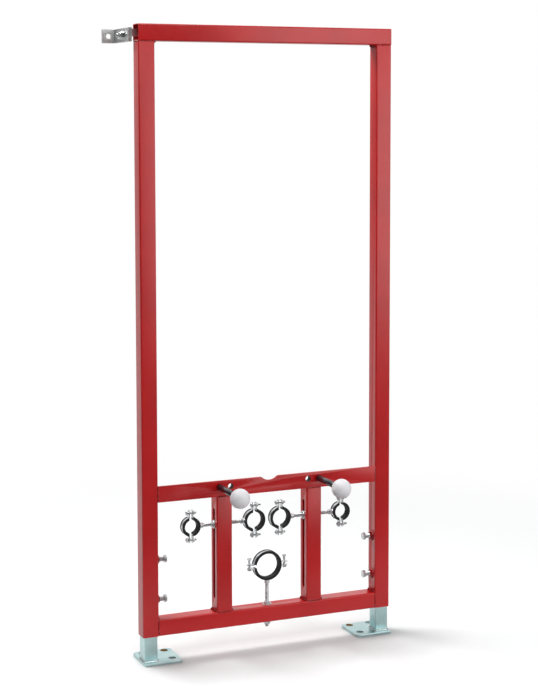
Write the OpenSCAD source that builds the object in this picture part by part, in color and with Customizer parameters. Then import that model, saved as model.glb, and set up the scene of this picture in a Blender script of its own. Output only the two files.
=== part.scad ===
// Floor-standing sanitary support frame: square-tube steelwork with two
// height-adjustable feet, a fixing crossbar and rubber-lined pipe clamps.
// The origin is on the floor, in the middle of the feet's four inner anchor holes.
// X runs across the frame, the front faces -Y and Z is up. Millimetres.

/* [Frame] */
// Width over both uprights
frame_w = 575; // [480:1:700]
// Height of the red frame without its feet
frame_h = 1275; // [900:1:1400]
// Side of the square tube
tube = 35; // [33:0.5:40]
// Wall of the square tube
tube_wall = 2; // [1.5:0.1:2.5]
// Outer corner radius of the square tube
tube_r = 3; // [2.6:0.1:4]
// Distance between the frame's lower edge and the foot plates
foot_gap = 52.5; // [40:0.5:150]

/* [Crossbar] */
// Height of the crossbar's lower edge above the frame's lower edge
bar_z = 285; // [270:1:400]
// Height of the crossbar
bar_h = 34; // [30:1:45]
// Thickness of the crossbar
bar_t = 5; // [4:0.5:8]
// Radius of the pipe notch in the crossbar's upper edge
notch_r = 25; // [20:1:30]
// Depth of the pipe notch
notch_depth = 8; // [5:0.5:10]
// Radius of the rounded lips of the notch
notch_lip_r = 8; // [4:0.5:10]

/* [Ceramic fixings] */
// Spacing of the two free threaded holes
hole_pitch = 180; // [160:1:185]
// Spacing of the two studs
stud_pitch = 230; // [225:1:260]
// Height of the fixings above the crossbar's lower edge
fixing_h = 20.5; // [16:0.5:22]
// Diameter of the studs and of their threaded holes
stud_d = 12; // [10:0.5:14]
// Width across the flats of the weld nuts behind the crossbar
weld_nut_af = 19; // [17:0.5:22]
// Thickness of the weld nuts behind the crossbar
weld_nut_t = 10; // [8:0.5:14]
// Length of the studs in front of the crossbar
stud_reach = 118; // [90:1:160]
// Outer diameter of the black stud sleeves
sleeve_d = 13.2; // [13:0.2:18]
// Outer diameter of the ball caps
ball_d = 40; // [30:1:50]
// Distance of the ball centres in front of the crossbar
ball_reach = 115; // [90:1:150]

/* [Mullions] */
// Spacing of the two mullions, centre to centre
mullion_pitch = 208.5; // [195:0.5:230]
// Width of the long slots in the mullion sides
slot_w = 11; // [9.5:0.5:14]
// Length of the long slots in the mullion sides
slot_l = 195; // [150:1:205]

/* [Feet] */
// Side of the square leg tube
leg = 30; // [26:0.5:30]
// Wall of the leg tube
leg_wall = 2; // [1.5:0.1:3]
// Length of the leg tube
leg_l = 431; // [380:1:450]
// Width of the foot plate
plate_w = 84; // [78:1:100]
// Depth of the foot plate
plate_d = 84.5; // [80:0.5:110]
// Reach of the foot plate in front of the frame
plate_front = 10.5; // [6:0.5:14]
// Thickness of the foot plate
plate_t = 6; // [4:0.5:8]
// Corner radius of the foot plate
plate_r = 8; // [4:0.5:12]
// Corner radius of the foot plate beside the leg's outer front edge
plate_sharp_r = 3; // [1:0.5:12]
// Spacing of the anchor holes from front to rear
anchor_pitch = 53; // [45:0.5:55]
// Spacing of the two rear anchor holes
anchor_row = 48.5; // [44:0.5:50]
// Distance of the outer anchor hole from the plate's outer edge
anchor_edge = 18.5; // [17:0.5:20]
// Diameter of the anchor holes
anchor_d = 13; // [9:0.5:14]
// Distance from the inner anchor holes' middle to the frame's front face
front_inset = 36; // [34:0.5:38]

/* [Foot locks] */
// Heights of the lock screws above the frame's lower edge
lock_z = [75, 160];
// Diameter of the lock screws
lock_d = 10; // [8:1:12]
// Width across the flats of the lock screws' heads and nuts
lock_af = 15; // [14:0.5:20]
// Thickness of the weld nuts on the uprights
lock_nut_t = 6; // [4:0.5:12]
// Free length of the lock screws between nut and head
lock_free = 11; // [5:0.5:20]
// Thickness of the lock screws' heads
lock_head_t = 5.5; // [4:0.5:9]

/* [Pipe clamps] */
// Distance of the supply clamps' rods above the frame's lower edge
supply_z = 223; // [215:1:232]
// Distance of the outer supply clamps from the frame's middle
outer_clamp_x = 175; // [170:1:185]
// Distance of the inner supply clamps from the frame's middle
inner_clamp_x = 30; // [28:1:33]
// Inner radius of the outer supply clamps
outer_clamp_r = 15; // [12:0.5:17]
// Inner radius of the inner supply clamps
inner_clamp_r = 18.5; // [15:0.5:19]
// Height of the drain clamp's middle above the frame's lower edge
drain_z = 121; // [117:1:125]
// Inner radius of the drain clamp
drain_clamp_r = 26.5; // [24:0.5:27]
// Width of the clamp bands
band_w = 11.5; // [10.5:0.5:14]
// Thickness of the clamp bands
band_t = 1.5; // [1.2:0.1:2]
// Radius of the bends between the half rings and their ears
bend_r = 2.5; // [2:0.1:3]
// Thickness of the rubber lining under the bands
lining_t = 3.2; // [2:0.1:3.5]
// Width of the rubber lips beside the bands
lip_t = 1.5; // [1:0.1:2]
// Height of the rubber lips above the bands
lip_h = 1; // [0.5:0.1:2]
// Gap between the ears of the two half bands
clamp_gap = 6; // [3:0.5:7]
// Gap between the ends of the rubber linings
lining_gap = 9; // [8:0.5:14]
// Length of the ears beyond the bands
ear_l = 16.5; // [15:0.5:18]
// Distance of the clamp screws from the bands
screw_out = 9.5; // [8:0.5:11]
// Diameter of the clamp screws
screw_d = 5; // [4:0.5:6]
// Length of the supply clamps' screws under their heads
screw_l = 20; // [18:0.5:24]
// Length of the drain clamp's screws under their heads
drain_screw_l = 25; // [18:0.5:30]
// Free length under the screw heads that are on a free half band
screw_slack = 3; // [0.5:0.5:4]
// Free length under the screw heads that are on a fixed half band
turned_slack = 0.5; // [0.5:0.5:4]
// Free length under the heads of the drain clamp's screws
drain_slack = 11.5; // [0.5:0.5:12]
// Diameter of the clamp screws' heads
head_d = 9.5; // [8:0.5:10]
// Thickness of the clamp screws' heads
head_t = 3.5; // [2:0.5:4]
// Width across the flats of the clamp screws' nuts
side_nut_af = 8; // [7:0.5:9]
// Thickness of the clamp screws' nuts
side_nut_t = 4; // [2.5:0.5:5]
// Length of the threaded bosses on the fixed half bands
boss_l = 8.5; // [6:0.5:10]

/* [Threaded rods] */
// Diameter of the clamps' threaded rods
rod_d = 8; // [6:1:8]
// Width across the flats of the rod nuts
nut_af = 13; // [12:0.5:15]
// Thickness of the nuts inside the mullions and below the bottom rail
nut_t = 6.5; // [5:0.5:8]
// Thickness of the slim nuts on the clamps' side
slim_nut_t = 4; // [3:0.5:6.5]
// Diameter of the washers on the mullions
washer_d = 18; // [16:0.5:20]
// Diameter of the washers on the bottom rail
drain_washer_d = 20; // [16:0.5:24]
// Thickness of the washers
washer_t = 1.6; // [1:0.1:2]
// Length of the drain rod's end below the frame
drain_tip = 14; // [11:0.5:20]

/* [Wall bracket] */
// Height of the bracket plates
bracket_h = 29; // [24:0.5:31]
// Distance of the bracket's middle below the top rail's middle
bracket_drop = 3.5; // [0:0.5:4]
// Thickness of the bracket plates
bracket_t = 3; // [2:0.5:4]
// Height of the tongue in the rail's end
tongue_h = 16; // [12:0.5:20]
// Length of the tongue inside the rail
tongue_l = 60; // [40:1:100]
// Gap between the rail's end and the bracket
bracket_gap = 4; // [0.5:0.5:5]
// Distance of the wall tab's rear face behind the frame's front face
wall_reach = 129; // [126:1:140]
// Length of the wall tab
tab_l = 28; // [22:1:40]
// Diameter of the hole in the wall tab
tab_hole_d = 10.5; // [8:0.5:12]
// Distance of the bracket bolt behind the frame's front face
bolt_y = 82; // [76:1:90]
// Length of the slot in the wall angle
angle_slot_l = 66; // [56:1:70]

/* [Hidden] */

$fn = 48;
// Clearance of a screw or rod in its thread, on the radius
thread_clear = 0.05;
// Clearance between a band and its rubber lining
lining_fit = 0.05;
// Gap left at a seat that has to slide
seat_gap = 0.3;
// Clearance of the bracket bolt in its slot, on the radius
slot_clear = 0.5;
// Length of a bolt's end beyond its nut
bolt_end = 3;
// Thickness of the bracket bolt's head
bolt_head_t = 5.3;
// Overlap that keeps cuts clean
cut = 1;

red = [0.66, 0.12, 0.13];
zinc = [0.70, 0.74, 0.74];
steel = [0.62, 0.63, 0.64];
rubber = [0.12, 0.12, 0.12];
cap_white = [0.86, 0.85, 0.86];

half_w = frame_w / 2;
front_y = -front_inset;
mid_y = front_y + tube / 2;
base_z = plate_t + foot_gap;
top_z = base_z + frame_h;
rail_mid_z = top_z - tube / 2;
upright_x = half_w - tube / 2;
inner_w = frame_w - 2 * tube;
fixing_z = base_z + bar_z + fixing_h;
mullion_x = mullion_pitch / 2;
mullion_l = bar_z - tube;
slot_mid_z = base_z + tube + mullion_l / 2;
supply_rod_z = base_z + supply_z;
drain_mid_z = base_z + drain_z;
lining_w = band_w + 2 * lip_t;
boss_af = band_w - 2 * seat_gap;

// Rounded rectangle with its middle at the origin
module rounded_rect(w, d, r) {
  square([w - 2 * r, d], center = true);
  square([w, d - 2 * r], center = true);
  for (sx = [-1, 1], sy = [-1, 1])
    translate([sx * (w / 2 - r), sy * (d / 2 - r)]) circle(r);
}

// Outline of a square tube, with its bore
module tube_outline(side, wall, r) {
  difference() {
    rounded_rect(side, side, r);
    rounded_rect(side - 2 * wall, side - 2 * wall, r - wall);
  }
}

// Square tube of the frame, upright and centred on its axis
module frame_tube(l) {
  linear_extrude(l) tube_outline(tube, tube_wall, tube_r);
}

// Turns what stands along Z so that it runs along X
module along_x() { rotate([0, 90, 0]) children(); }

// Turns what stands along Z so that it runs along -Y
module along_front() { rotate([90, 0, 0]) children(); }

// Hexagonal prism along Z
module hex_prism(af, h) { cylinder(d = af / cos(30), h = h, $fn = 6); }

// Hexagonal nut along Z with a threaded bore
module hex_nut(af, h, bore) {
  difference() {
    hex_prism(af, h);
    translate([0, 0, -cut]) cylinder(d = bore, h = h + 2 * cut);
  }
}

// Upright on one side: side is -1 on the left and 1 on the right
module upright(side) {
  color(red) translate([side * upright_x, mid_y, base_z])
    difference() {
      frame_tube(frame_h - tube);
      for (z = lock_z)
        translate([-side * (tube / 2 - tube_wall / 2), 0, z]) along_x()
          translate([0, 0, -tube_wall]) cylinder(d = lock_d + 2 * thread_clear, h = 2 * tube_wall);
    }
}

module top_rail() {
  color(red) translate([-half_w, mid_y, rail_mid_z]) along_x() frame_tube(frame_w);
}

module bottom_rail() {
  color(red) difference() {
    translate([-inner_w / 2, mid_y, base_z + tube / 2]) along_x() frame_tube(inner_w);
    translate([0, mid_y, base_z - cut])
      cylinder(d = rod_d + 2 * thread_clear, h = tube + 2 * cut);
  }
}

// Points along an arc about c, from angle a to angle b
function arc(c, r, a, b, steps = 16, first = 0) =
  [for (i = [first : steps]) c + r * [cos(a + (b - a) * i / steps), sin(a + (b - a) * i / steps)]];

// Crossbar outline: X across and Y up, with the round-lipped notch in the upper edge
module bar_outline() {
  centre_h = bar_h - notch_depth + notch_r;
  lip_h = bar_h - notch_lip_r;
  lip_x = sqrt(pow(notch_r + notch_lip_r, 2) - pow(centre_h - lip_h, 2));
  touch = atan2(centre_h - lip_h, lip_x);
  polygon(concat(
    [[-inner_w / 2, 0], [inner_w / 2, 0], [inner_w / 2, bar_h]],
    arc([lip_x, lip_h], notch_lip_r, 90, 180 - touch),
    arc([0, centre_h], notch_r, 360 - touch, 180 + touch),
    arc([-lip_x, lip_h], notch_lip_r, touch, 90),
    [[-inner_w / 2, bar_h]]
  ));
}

module crossbar() {
  color(red) difference() {
    translate([0, front_y + bar_t, base_z + bar_z]) along_front()
      linear_extrude(bar_t) bar_outline();
    for (x = [-stud_pitch, -hole_pitch, hole_pitch, stud_pitch] / 2)
      translate([x, front_y + bar_t + cut, fixing_z]) along_front()
        cylinder(d = stud_d + 2 * thread_clear, h = bar_t + 2 * cut);
  }
}

module crossbar_nuts() {
  color(red) for (x = [-stud_pitch, -hole_pitch, hole_pitch, stud_pitch] / 2)
    translate([x, front_y + bar_t + weld_nut_t, fixing_z]) along_front()
      hex_nut(weld_nut_af, weld_nut_t, stud_d + 2 * thread_clear);
}

module mullion(side) {
  color(red) translate([side * mullion_x, mid_y, base_z + tube]) difference() {
    frame_tube(mullion_l);
    translate([-tube / 2 - cut, 0, mullion_l / 2]) along_x()
      linear_extrude(tube + 2 * cut) {
        square([slot_l - slot_w, slot_w], center = true);
        for (s = [-1, 1]) translate([s * (slot_l - slot_w) / 2, 0]) circle(d = slot_w);
      }
  }
}

// Places a lock screw's axis so that +Z leaves the upright towards the middle
module at_locks() {
  for (side = [-1, 1], z = lock_z)
    translate([side * (half_w - tube), mid_y, base_z + z]) rotate([0, -side * 90, 0]) children();
}

module lock_nuts() {
  color(red) at_locks() hex_nut(lock_af, lock_nut_t, lock_d + 2 * thread_clear);
}

module lock_screws() {
  reach_in = tube / 2 - leg / 2 - seat_gap;
  color(steel) at_locks() {
    translate([0, 0, -reach_in]) cylinder(d = lock_d, h = reach_in + lock_nut_t + lock_free + cut);
    translate([0, 0, lock_nut_t + lock_free]) hex_prism(lock_af, lock_head_t);
  }
}

module foot_leg(side) {
  color(zinc) translate([side * upright_x, mid_y, plate_t])
    linear_extrude(leg_l) tube_outline(leg, leg_wall, tube_r - tube_wall / 2);
}

// Foot plate with three anchor holes; the leg stands where a fourth would be
module foot_plate(side) {
  hole_x = half_w - anchor_edge;
  color(zinc) linear_extrude(plate_t) difference() {
    union() {
      translate([side * (half_w - plate_w / 2), front_y - plate_front + plate_d / 2])
        rounded_rect(plate_w, plate_d, plate_r);
      translate([side * (half_w - plate_r), front_y - plate_front + plate_r])
        rounded_rect(2 * plate_r, 2 * plate_r, plate_sharp_r);
    }
    for (p = [[anchor_row, -1], [anchor_row, 1], [0, 1]])
      translate([side * (hole_x - p[0]), p[1] * anchor_pitch / 2]) circle(d = anchor_d);
  }
}

// A stud's axis: +Z leaves the crossbar towards the front
module at_stud(side) {
  translate([side * stud_pitch / 2, front_y, fixing_z]) along_front() children();
}

module stud(side) {
  color(steel) at_stud(side) translate([0, 0, -bar_t - weld_nut_t - bolt_end])
    cylinder(d = stud_d, h = bar_t + weld_nut_t + bolt_end + stud_reach);
}

module sleeve(side) {
  neck = ball_reach - sqrt(pow(ball_d / 2, 2) - pow(sleeve_d / 2, 2));
  color(rubber) at_stud(side) difference() {
    cylinder(d = sleeve_d, h = neck);
    translate([0, 0, -cut]) cylinder(d = stud_d + 2 * thread_clear, h = neck + 2 * cut);
  }
}

module ball_cap(side) {
  neck = ball_reach - sqrt(pow(ball_d / 2, 2) - pow(sleeve_d / 2, 2));
  color(cap_white) at_stud(side) difference() {
    translate([0, 0, ball_reach]) sphere(d = ball_d, $fn = 64);
    translate([0, 0, ball_reach - ball_d]) cylinder(d = sleeve_d, h = ball_d - ball_reach + neck);
    translate([0, 0, ball_reach - ball_d])
      cylinder(d = stud_d + 2 * thread_clear, h = ball_d - ball_reach + stud_reach + seat_gap);
  }
}

// Clamp parts stand in their own frame: the ring's axis is Z, the stem leaves
// along +X, and the split between the half bands is the plane X = 0.

// Outer radius of a clamp's band
function band_r(r) = r + lining_t + band_t;

// Distance from a clamp's middle to the end of its boss
function boss_end(r) = band_r(r) + boss_l;

// Half band on the +X side: a half ring that bends outwards into two straight ears
module half_band(r) {
  out_r = band_r(r);
  near = clamp_gap / 2;
  bend_x = near + band_t + bend_r;
  bend_y = sqrt(pow(out_r + bend_r, 2) - pow(bend_x, 2));
  touch = atan2(bend_y, bend_x);
  tip_y = out_r + ear_l - band_w / 2;
  difference() {
    union() {
      translate([0, 0, -band_w / 2]) linear_extrude(band_w) polygon(concat(
        arc([0, 0], out_r, -touch, touch, 48),
        arc([bend_x, bend_y], bend_r, touch + 180, 180, 6, 1),
        [[near + band_t, tip_y], [near, tip_y]],
        arc([bend_x, bend_y], bend_r + band_t, 180, touch + 180, 6),
        arc([0, 0], out_r - band_t, touch, -touch, 48, 1),
        arc([bend_x, -bend_y], bend_r + band_t, 180 - touch, 180, 6, 1),
        [[near, -tip_y], [near + band_t, -tip_y]],
        arc([bend_x, -bend_y], bend_r, 180, 180 - touch, 5)
      ));
      for (s = [-1, 1])
        translate([near, s * tip_y, 0]) along_x() cylinder(d = band_w, h = band_t);
    }
    for (s = [-1, 1])
      translate([near - cut, s * (out_r + screw_out), 0]) along_x()
        cylinder(d = screw_d + 2 * thread_clear, h = band_t + 2 * cut);
  }
}

module clamp_bands(r) {
  half_band(r);
  mirror([1, 0, 0]) half_band(r);
  translate([band_r(r) - band_t / 2, 0, 0]) along_x() difference() {
    rotate([0, 0, 30]) hex_prism(boss_af, boss_l + band_t / 2);
    translate([0, 0, band_t / 2]) cylinder(d = rod_d + 2 * thread_clear, h = boss_l + cut);
  }
}

// Rubber lining of one half band on the +X side, with a lip on each side of the band
module half_lining(r) {
  lip_r = band_r(r) + lip_h;
  difference() {
    translate([0, 0, -lining_w / 2]) cylinder(r = lip_r, h = lining_w, $fn = 96);
    translate([0, 0, -lining_w / 2 - cut]) cylinder(r = r, h = lining_w + 2 * cut, $fn = 96);
    translate([0, 0, -band_w / 2]) linear_extrude(band_w) difference() {
      circle(lip_r + cut, $fn = 96);
      circle(r + lining_t - lining_fit, $fn = 96);
    }
    translate([-2 * lip_r, -2 * lip_r, -lining_w])
      cube([2 * lip_r + lining_gap / 2, 4 * lip_r, 2 * lining_w]);
  }
}

module clamp_lining(r) {
  half_lining(r);
  mirror([1, 0, 0]) half_lining(r);
}

// Screws and nuts through the ears: the heads are on the free half band
module clamp_screws(r, l, slack) {
  ear_face = clamp_gap / 2 + band_t;
  for (s = [-1, 1]) translate([0, s * (band_r(r) + screw_out), 0]) along_x() {
    translate([0, 0, -ear_face - slack - head_t]) cylinder(d = head_d, h = head_t);
    translate([0, 0, -ear_face - slack - cut]) cylinder(d = screw_d, h = l + cut);
    translate([0, 0, ear_face]) hex_prism(side_nut_af, side_nut_t);
  }
}

// The same with the heads on the fixed half band
module turned_screws(r) {
  mirror([1, 0, 0]) clamp_screws(r, screw_l, turned_slack);
}

// Supply clamp: its stem points at the mullion that carries it
module at_supply(side, outer) {
  x = outer ? outer_clamp_x : inner_clamp_x;
  translate([side * x, mid_y, supply_rod_z]) rotate([90, 0, 0])
    rotate([0, 0, (outer ? -side : side) > 0 ? 0 : 180]) children();
}

// Drain clamp: its stem points down at the bottom rail
module at_drain() {
  translate([0, mid_y, drain_mid_z]) rotate([90, 0, 0]) rotate([0, 0, -90]) children();
}

// Rod through one mullion, from the outer clamp's boss to the inner clamp's
module supply_rod(side) {
  x_out = outer_clamp_x - boss_end(outer_clamp_r) + boss_l - cut;
  x_in = inner_clamp_x + boss_end(inner_clamp_r) - boss_l + cut;
  color(steel) translate([side > 0 ? x_in : -x_out, mid_y, supply_rod_z]) along_x()
    cylinder(d = rod_d, h = x_out - x_in);
}

// Washer with a nut on it, along Z
module washer_nut(washer, t) {
  difference() {
    union() {
      cylinder(d = washer, h = washer_t);
      hex_prism(nut_af, washer_t + t);
    }
    translate([0, 0, -cut]) cylinder(d = rod_d + 2 * thread_clear, h = washer_t + t + 2 * cut);
  }
}

// Washer and slim nut outside a wall, and a square nut inside it, along Z
module wall_nuts(wall) {
  translate([0, 0, seat_gap / 3]) washer_nut(washer_d, slim_nut_t);
  translate([0, 0, -wall - seat_gap / 3 - nut_t]) difference() {
    translate([-washer_d / 2, -washer_d / 2, 0]) cube([washer_d, washer_d, nut_t]);
    translate([0, 0, -cut]) cylinder(d = rod_d + 2 * thread_clear, h = nut_t + 2 * cut);
  }
}

module supply_nuts(side) {
  color(steel) translate([side * mullion_x - tube / 2, mid_y, supply_rod_z])
    rotate([0, -90, 0]) wall_nuts(tube_wall);
}

module drain_rod() {
  top = drain_mid_z - boss_end(drain_clamp_r) + boss_l - cut;
  color(steel) translate([0, mid_y, base_z - drain_tip])
    cylinder(d = rod_d, h = top - base_z + drain_tip);
}

module drain_rod_nuts() {
  color(steel) translate([0, mid_y, base_z]) {
    translate([0, 0, tube]) washer_nut(drain_washer_d, slim_nut_t);
    mirror([0, 0, 1]) washer_nut(drain_washer_d, nut_t);
  }
}

// Bracket places: X of the plates' outer faces
inner_plate_x = -half_w - bracket_gap - bracket_t;
outer_plate_x = inner_plate_x - bracket_t;
bracket_z = rail_mid_z - bracket_drop;

// Strap welded to the rear wall inside the rail's end; it turns to the rear
module bracket_tongue() {
  strap_y = front_y + tube - tube_wall - bracket_t;
  plate_l = bolt_y + bracket_h / 2 - (strap_y - front_y);
  color(zinc) difference() {
    union() {
      translate([inner_plate_x, strap_y, rail_mid_z - tongue_h / 2])
        cube([bracket_t + bracket_gap + tongue_l, bracket_t, tongue_h]);
      translate([inner_plate_x, strap_y, bracket_z - bracket_h / 2])
        cube([bracket_t, plate_l, bracket_h]);
    }
    translate([inner_plate_x - cut, front_y + bolt_y, bracket_z]) along_x()
      cylinder(d = rod_d + 2 * thread_clear, h = bracket_t + 2 * cut);
  }
}

// Angle that slides along the tongue's plate and turns out along the wall
module wall_angle() {
  near_y = front_y + tube;
  wall_y = front_y + wall_reach;
  slot_r = rod_d / 2 + slot_clear;
  slot_y = near_y + (wall_reach - tube - bracket_t - angle_slot_l) / 3;
  color(zinc) difference() {
    union() {
      translate([outer_plate_x, near_y, bracket_z - bracket_h / 2])
        cube([bracket_t, wall_y - near_y, bracket_h]);
      translate([outer_plate_x - tab_l, wall_y - bracket_t, bracket_z - bracket_h / 2])
        cube([tab_l + bracket_t, bracket_t, bracket_h]);
    }
    translate([outer_plate_x - cut, 0, bracket_z]) along_x() linear_extrude(bracket_t + 2 * cut) {
      translate([-slot_r, slot_y + slot_r]) square([2 * slot_r, angle_slot_l - 2 * slot_r]);
      for (y = [slot_r, angle_slot_l - slot_r]) translate([0, slot_y + y]) circle(slot_r);
    }
    translate([outer_plate_x - tab_l / 2, wall_y + cut, bracket_z]) along_front()
      cylinder(d = tab_hole_d, h = bracket_t + 2 * cut);
  }
}

// Bolt through both plates, with its head inside and its nut outside
module bracket_bolt() {
  nut_x = outer_plate_x - seat_gap / 3 - washer_t - nut_t;
  color(steel) translate([0, front_y + bolt_y, bracket_z]) {
    translate([nut_x - bolt_end, 0, 0]) along_x()
      cylinder(d = rod_d, h = inner_plate_x + bracket_t + cut - nut_x + bolt_end);
    translate([nut_x, 0, 0]) along_x() hex_prism(nut_af, nut_t);
    translate([nut_x + nut_t, 0, 0]) along_x() cylinder(d = washer_d, h = washer_t);
    translate([inner_plate_x + bracket_t, 0, 0]) along_x() hex_prism(nut_af, bolt_head_t);
  }
}

upright(-1);  // left_upright
upright(1);  // right_upright
top_rail();
bottom_rail();
crossbar();
mullion(-1);  // left_mullion
mullion(1);  // right_mullion
crossbar_nuts();
lock_nuts();
lock_screws();
foot_leg(-1);  // left_leg
foot_plate(-1);  // left_foot_plate
foot_leg(1);  // right_leg
foot_plate(1);  // right_foot_plate
stud(-1);  // left_stud
stud(1);  // right_stud
sleeve(-1);  // left_sleeve
sleeve(1);  // right_sleeve
ball_cap(-1);  // left_ball_cap
ball_cap(1);  // right_ball_cap
supply_rod(-1);  // left_rod
supply_nuts(-1);  // left_rod_nuts
color(zinc) at_supply(-1, true) clamp_bands(outer_clamp_r);  // left_outer_bands
color(rubber) at_supply(-1, true) clamp_lining(outer_clamp_r);  // left_outer_lining
color(steel) at_supply(-1, true) clamp_screws(outer_clamp_r, screw_l, screw_slack);  // left_outer_screws
color(zinc) at_supply(-1, false) clamp_bands(inner_clamp_r);  // left_inner_bands
color(rubber) at_supply(-1, false) clamp_lining(inner_clamp_r);  // left_inner_lining
color(steel) at_supply(-1, false) turned_screws(inner_clamp_r);  // left_inner_screws
supply_rod(1);  // right_rod
supply_nuts(1);  // right_rod_nuts
color(zinc) at_supply(1, true) clamp_bands(outer_clamp_r);  // right_outer_bands
color(rubber) at_supply(1, true) clamp_lining(outer_clamp_r);  // right_outer_lining
color(steel) at_supply(1, true) turned_screws(outer_clamp_r);  // right_outer_screws
color(zinc) at_supply(1, false) clamp_bands(inner_clamp_r);  // right_inner_bands
color(rubber) at_supply(1, false) clamp_lining(inner_clamp_r);  // right_inner_lining
color(steel) at_supply(1, false) clamp_screws(inner_clamp_r, screw_l, screw_slack);  // right_inner_screws
drain_rod();
drain_rod_nuts();
color(zinc) at_drain() clamp_bands(drain_clamp_r);  // drain_bands
color(rubber) at_drain() clamp_lining(drain_clamp_r);  // drain_lining
color(steel) at_drain() clamp_screws(drain_clamp_r, drain_screw_l, drain_slack);  // drain_screws
bracket_tongue();
wall_angle();
bracket_bolt();
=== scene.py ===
"""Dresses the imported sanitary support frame: welded red tube steelwork, zinc-plated
feet, rubber-lined pipe clamps on threaded rods, capped studs and a wall bracket."""

import logging
import math
from dataclasses import dataclass, field
from enum import Enum
from typing import Any, Callable, Iterable, Optional, Sequence

import bpy
from mathutils import Matrix, Vector

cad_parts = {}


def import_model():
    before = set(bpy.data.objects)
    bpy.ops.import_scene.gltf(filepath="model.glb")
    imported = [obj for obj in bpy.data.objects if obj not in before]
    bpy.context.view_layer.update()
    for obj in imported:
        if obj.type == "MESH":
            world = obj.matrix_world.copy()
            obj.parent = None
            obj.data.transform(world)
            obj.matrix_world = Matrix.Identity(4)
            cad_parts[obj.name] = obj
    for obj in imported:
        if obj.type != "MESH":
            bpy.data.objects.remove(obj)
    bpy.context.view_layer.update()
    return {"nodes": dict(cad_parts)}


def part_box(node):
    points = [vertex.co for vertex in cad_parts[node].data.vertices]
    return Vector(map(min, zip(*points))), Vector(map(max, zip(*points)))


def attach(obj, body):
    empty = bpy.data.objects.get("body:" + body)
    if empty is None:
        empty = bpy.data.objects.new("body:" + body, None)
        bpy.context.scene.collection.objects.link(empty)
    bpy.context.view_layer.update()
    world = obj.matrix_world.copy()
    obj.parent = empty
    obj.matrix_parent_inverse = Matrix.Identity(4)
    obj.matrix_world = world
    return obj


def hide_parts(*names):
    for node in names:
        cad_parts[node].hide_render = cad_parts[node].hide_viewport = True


MM = 0.001
CLOSE = 1e-6  # corners nearer than this are merged, in metres
LOG = logging.getLogger("support_frame")
Point = tuple[float, float]
Triple = tuple[float, float, float]
Part = bpy.types.Object
Material = bpy.types.Material


class Side(Enum):
    """Side of the frame, seen from the front."""

    LEFT = -1
    RIGHT = 1

    @property
    def word(self) -> str:
        """The side's name as the nodes write it."""
        return self.name.lower()


class Aim(Enum):
    """Direction in which a turned piece, modelled along +Z, is laid."""

    UP = (0, 0, 1)
    DOWN = (0, 0, -1)
    RIGHT = (1, 0, 0)
    LEFT = (-1, 0, 0)
    FRONT = (0, -1, 0)

    @property
    def matrix(self) -> Matrix:
        """Rotation that turns +Z to this direction."""
        return Vector((0, 0, 1)).rotation_difference(Vector(self.value)).to_matrix().to_4x4()

    def at(self, x: float, y: float, z: float) -> Matrix:
        """Place of a piece that stands on a point and points this way."""
        return Matrix.Translation((x, y, z)) @ self.matrix


@dataclass(frozen=True)
class FrameSizes:
    """Sizes of the part that the dressing needs, in metres."""

    half_w: float = 287.5 * MM
    tube: float = 35 * MM
    front_y: float = -36 * MM
    base_z: float = 58.5 * MM
    frame_h: float = 1275 * MM
    bar_z: float = 285 * MM
    bar_h: float = 34 * MM
    bar_t: float = 5 * MM
    fixing_z: float = 305.5 * MM
    hole_x: float = 90 * MM
    hole_r: float = 6.05 * MM
    stud_x: float = 115 * MM
    mullion_x: float = 104.25 * MM
    lock_z: tuple[float, float] = (75 * MM, 160 * MM)
    supply_z: float = 223 * MM
    drain_z: float = 121 * MM
    anchor_x: float = 220.5 * MM
    anchor_y: float = 26.5 * MM
    anchor_row: float = 48.5 * MM  # from the inner holes of a plate to its outer one
    anchor_r: float = 8 * MM

    @property
    def mid_y(self) -> float:
        """Depth of the tubes' middle."""
        return self.front_y + self.tube / 2

    @property
    def top_z(self) -> float:
        """Height of the frame's upper edge."""
        return self.base_z + self.frame_h

    @property
    def inner_x(self) -> float:
        """Distance of the uprights' inner faces from the middle."""
        return self.half_w - self.tube

    @property
    def upright_x(self) -> float:
        """Distance of the uprights' middles from the middle."""
        return self.half_w - self.tube / 2


SIZES = FrameSizes()


# Shader trees


def math_operator(operation: str, reflected: bool = False) -> Callable[["Wire", Any], "Wire"]:
    """Makes an operator of Wire that adds a Math node.

    Args:
        operation: the node's operation.
        reflected: whether the other value comes first.

    Returns:
        The method.
    """

    def add(self: "Wire", other: Any) -> "Wire":
        """Adds the node for this output and another value."""
        first, second = (other, self) if reflected else (self, other)
        return self.shop.node("ShaderNodeMath", {"operation": operation}, {0: first, 1: second})

    return add


@dataclass(frozen=True)
class Wire:
    """An output in a shader tree; arithmetic on it adds Math nodes."""

    shop: "ShaderShop"
    socket: bpy.types.NodeSocket

    __add__, __radd__ = math_operator("ADD"), math_operator("ADD", True)
    __sub__, __rsub__ = math_operator("SUBTRACT"), math_operator("SUBTRACT", True)
    __mul__, __rmul__ = math_operator("MULTIPLY"), math_operator("MULTIPLY", True)
    __pow__ = math_operator("POWER")

    def ramp(self, low: float, high: float) -> "Wire":
        """Maps this value smoothly from 0 at low to 1 at high."""
        limits = {0: self, 1: low, 2: high, 3: 0.0, 4: 1.0}
        return self.shop.node("ShaderNodeMapRange", {"interpolation_type": "SMOOTHSTEP"}, limits)


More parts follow.
